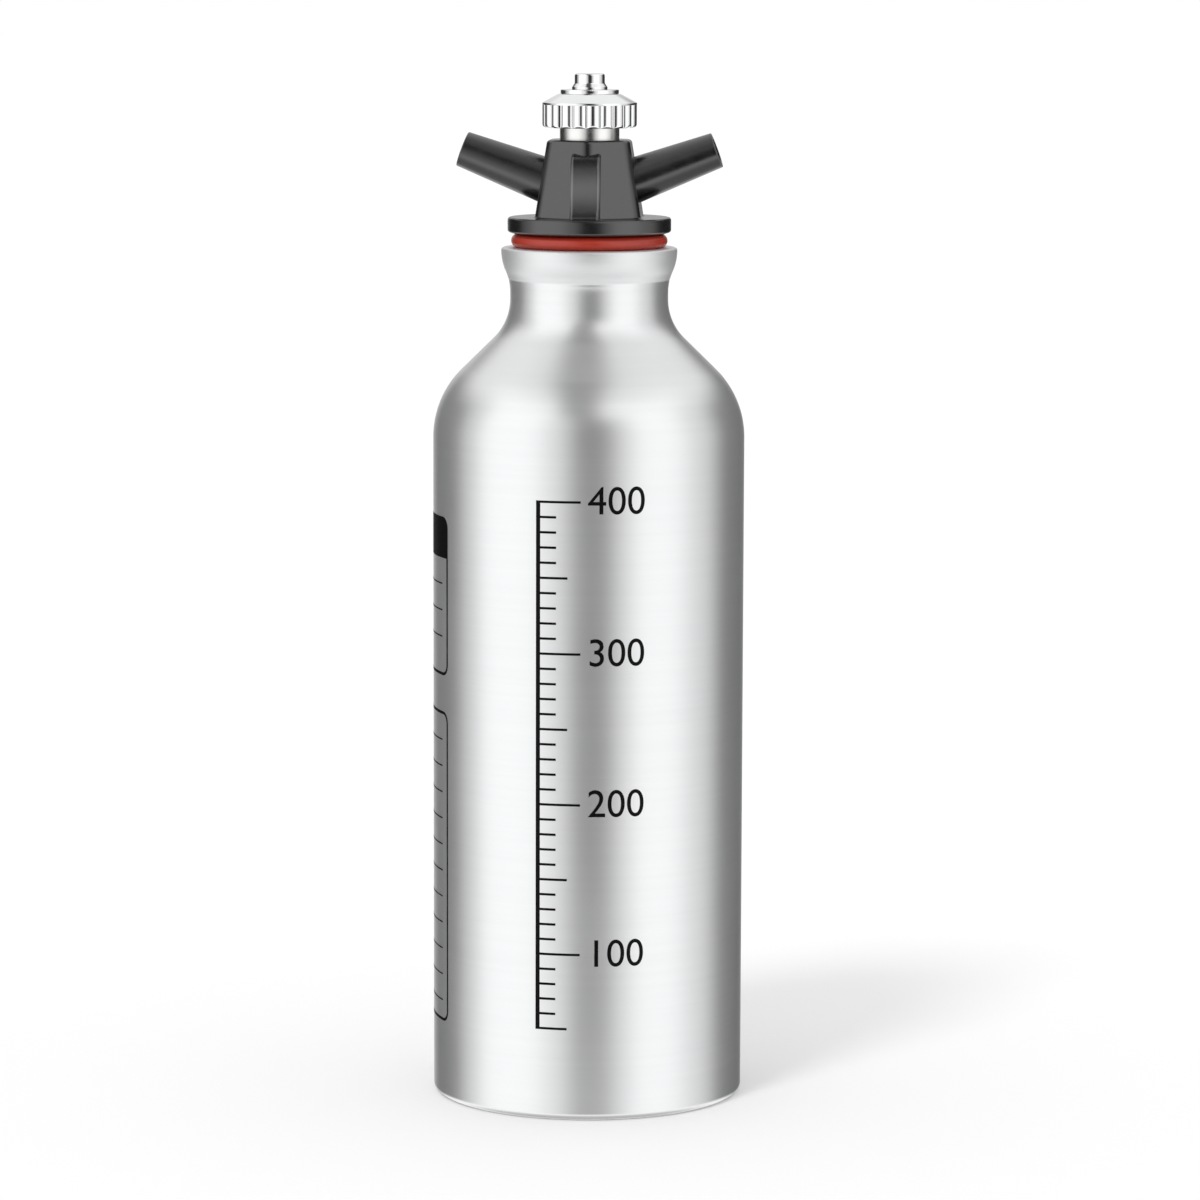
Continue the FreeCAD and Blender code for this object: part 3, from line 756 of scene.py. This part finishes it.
# Washer and push button on top: both turned and chromed.
# The button is a cap nut on the stem's upper end, and the washer under it holds the knob on.
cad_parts["top_washer"].material_slots[0].material = chrome
button_low, button_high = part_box("push_button")
button_skirt_r = button_high.x
button_r = 0.00318
button_skirt_h = 0.0005
button_neck_h = 0.00085
button_crown_t = 0.0011
button_foot_round = 0.0001
button_skirt_round = 0.0002
button_neck_round = 0.0006
button_top_round = 0.0005
button_steps = 96
button = draw_corners("press_button", [
    (stem_bore_r, button_low.z, 0),
    (button_skirt_r, button_low.z, button_foot_round),
    (button_skirt_r, button_low.z + button_skirt_h, button_skirt_round),
    (button_r, button_low.z + button_skirt_h + button_neck_h, button_neck_round),
    (button_r, button_high.z, button_top_round),
    (0, button_high.z, 0),
    (0, button_high.z - button_crown_t, 0),
    (stem_bore_r, button_high.z - button_crown_t, 0),
], knob_corner_steps)
turn_piece(button, button_steps)
button.data.materials.append(chrome)
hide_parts("push_button")
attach(button, "stem")

# Floor: a wide sheet of matte white paper under the bottle, which takes its shadow.
# It doesn't show in the metal, where the tent's panels show instead.
floor_w = 30
floor_drop = 0.00005
paper_dark = (0.845, 0.845, 0.845)
paper_light = (0.855, 0.855, 0.855)
bpy.ops.object.select_all(action="DESELECT")
bpy.ops.mesh.primitive_plane_add(size=floor_w, location=(0, 0, -floor_drop))
floor = bpy.context.object
floor.name = "floor"
floor.visible_glossy = False
paper = new_finish("white_paper")
tree, shader = nodes_of(paper)
paper_fibre = pattern(tree, spots=(900, 900, 900), detail=2)
tree.links.new(tint(tree, paper_fibre, paper_dark, paper_light), shader.inputs["Base Color"])
shader.inputs["Roughness"].default_value = 1
shader.inputs["Specular IOR Level"].default_value = 0
floor.data.materials.append(paper)

# Light tent: two tall soft lamps left and right of the camera and dark cloth between and beside them, which
# draw the bands on the metal. Above and below it is pale. A weak sun from the front left gives the shadow.
# Each panel is a place, in degrees from the front or as a ray's share along X or Z, and a level of light.
lamp_turns = (
    (-180, 0.6), (-166, 0.6), (-146, 0.03), (-114, 0.03), (-94, 0.5), (-74, 1.0), (-40, 1.0),
    (-19, 0.68), (0, 0.02), (13, 0.02), (32, 0.66), (44, 1.0), (66, 1.0), (96, 0.62),
    (127, 0.03), (164, 0.03), (180, 0.6),
)
roof_gap = ((-1.0, 1.0), (-0.38, 1.0), (-0.18, 0.08), (0.06, 0.08), (0.28, 1.0), (1.0, 1.0))
roof_levels = ((0.0, 1.0), (0.6, 1.0), (0.95, 0.68), (1.0, 0.68))
back_level = 0.72
floor_levels = ((-1.0, 0.4), (-0.84, 0.45), (-0.6, 1.0), (0.0, 1.0))
roof_low = 0.45
roof_high = 0.68
back_low = 0.3
back_high = 0.55
back_start = -0.1
back_end = 0.35
floor_high = -0.34
floor_low = -0.5
tent_strength = 1.25
world = bpy.data.worlds.new("light_tent")
bpy.context.scene.world = world
world.use_nodes = True
tent_tree = world.node_tree
white = tent_tree.nodes["Background"]
white.inputs["Color"].default_value = (1, 1, 1, 1)
white.inputs["Strength"].default_value = 1


def tent_share(source, start, end):
    """How far a value has come from start to end, as a share."""
    ranges = tent_tree.nodes.new("ShaderNodeMapRange")
    ranges.inputs["From Min"].default_value = start
    ranges.inputs["From Max"].default_value = end
    tent_tree.links.new(source, ranges.inputs["Value"])
    return ranges.outputs["Result"]


def tent_panels(source, stops):
    """A row of light and dark panels, from stops of (place, level), with soft edges."""
    lowest = stops[0][0]
    highest = stops[-1][0]
    panels = tent_tree.nodes.new("ShaderNodeValToRGB")
    ramp = panels.color_ramp
    ramp.interpolation = "EASE"
    for place, level in stops[1:-1]:
        ramp.elements.new((place - lowest) / (highest - lowest))
    for stop, (place, level) in zip(ramp.elements, stops):
        stop.color = (level, level, level, 1)
    tent_tree.links.new(tent_share(source, lowest, highest), panels.inputs["Fac"])
    return panels.outputs["Color"]


def tent_mix(share, first, second):
    """Goes over from one part of the tent to another; a plain level makes an even part."""
    blend = tent_tree.nodes.new("ShaderNodeMix")
    blend.data_type = "RGBA"
    tent_tree.links.new(share, blend.inputs["Factor"])
    tent_tree.links.new(first, blend.inputs["A"])
    if isinstance(second, float):
        blend.inputs["B"].default_value = (second, second, second, 1)
    else:
        tent_tree.links.new(second, blend.inputs["B"])
    return blend.outputs["Result"]


def tent_maths(operation, first, second):
    """One step of arithmetic; the second value may be a plain number."""
    step = tent_tree.nodes.new("ShaderNodeMath")
    step.operation = operation
    tent_tree.links.new(first, step.inputs[0])
    if isinstance(second, (int, float)):
        step.inputs[1].default_value = second
    else:
        tent_tree.links.new(second, step.inputs[1])
    return step.outputs["Value"]


ray_way = tent_tree.nodes.new("ShaderNodeTexCoord")
ways = tent_tree.nodes.new("ShaderNodeSeparateXYZ")
tent_tree.links.new(ray_way.outputs["Generated"], ways.inputs["Vector"])
way_x = ways.outputs["X"]
way_y = ways.outputs["Y"]
way_z = ways.outputs["Z"]
from_front = tent_maths("ARCTAN2", way_x, tent_maths("MULTIPLY", way_y, -1))
lamps = tent_panels(tent_maths("MULTIPLY", from_front, math.degrees(1)), lamp_turns)
roof = tent_maths("MULTIPLY", tent_panels(way_x, roof_gap), tent_panels(way_z, roof_levels))
above = tent_mix(tent_share(way_z, roof_low, roof_high), lamps, roof)
behind = tent_maths(
    "MULTIPLY", tent_share(way_z, back_low, back_high), tent_share(way_y, back_start, back_end))
around = tent_mix(behind, above, back_level)
around = tent_mix(tent_share(way_z, floor_high, floor_low), around, tent_panels(way_z, floor_levels))
tent = tent_tree.nodes.new("ShaderNodeBackground")
tent.inputs["Strength"].default_value = tent_strength
tent_tree.links.new(around, tent.inputs["Color"])
light_path = tent_tree.nodes.new("ShaderNodeLightPath")
by_ray = tent_tree.nodes.new("ShaderNodeMixShader")
tent_tree.links.new(light_path.outputs["Is Glossy Ray"], by_ray.inputs["Fac"])
tent_tree.links.new(white.outputs["Background"], by_ray.inputs[1])
tent_tree.links.new(tent.outputs["Background"], by_ray.inputs[2])
tent_tree.links.new(by_ray.outputs["Shader"], tent_tree.nodes["World Output"].inputs["Surface"])

sun_turn = math.radians(-27)
sun_height = math.radians(53)
sun_w = math.radians(12)
sun_strength = 0.8
bpy.ops.object.light_add(type="SUN", rotation=(quarter_turn - sun_height, 0, sun_turn))
sun = bpy.context.object
sun.name = "soft_sun"
sun.data.energy = sun_strength
sun.data.angle = sun_w
sun.visible_glossy = False

# Camera: the photograph's view, a long lens a metre away and a little right of the front.
# It stands a little higher than the button and looks down to the bottle's middle.
camera_turn = math.radians(4.4)
camera_away = 1.04
camera_z = 0.24
camera_tilt = math.radians(7.366)
camera_roll = math.radians(-0.15)
lens = 147.8
sensor_w = 36
camera_shift_x = 0.0083
camera_place = (camera_away * math.sin(camera_turn), -camera_away * math.cos(camera_turn), camera_z)
camera_way = (quarter_turn - camera_tilt, camera_roll, camera_turn)
bpy.ops.object.camera_add(location=camera_place, rotation=camera_way)
camera = bpy.context.object
camera.name = "camera"
camera.data.lens = lens
camera.data.sensor_width = sensor_w
camera.data.shift_x = camera_shift_x
bpy.context.scene.camera = camera
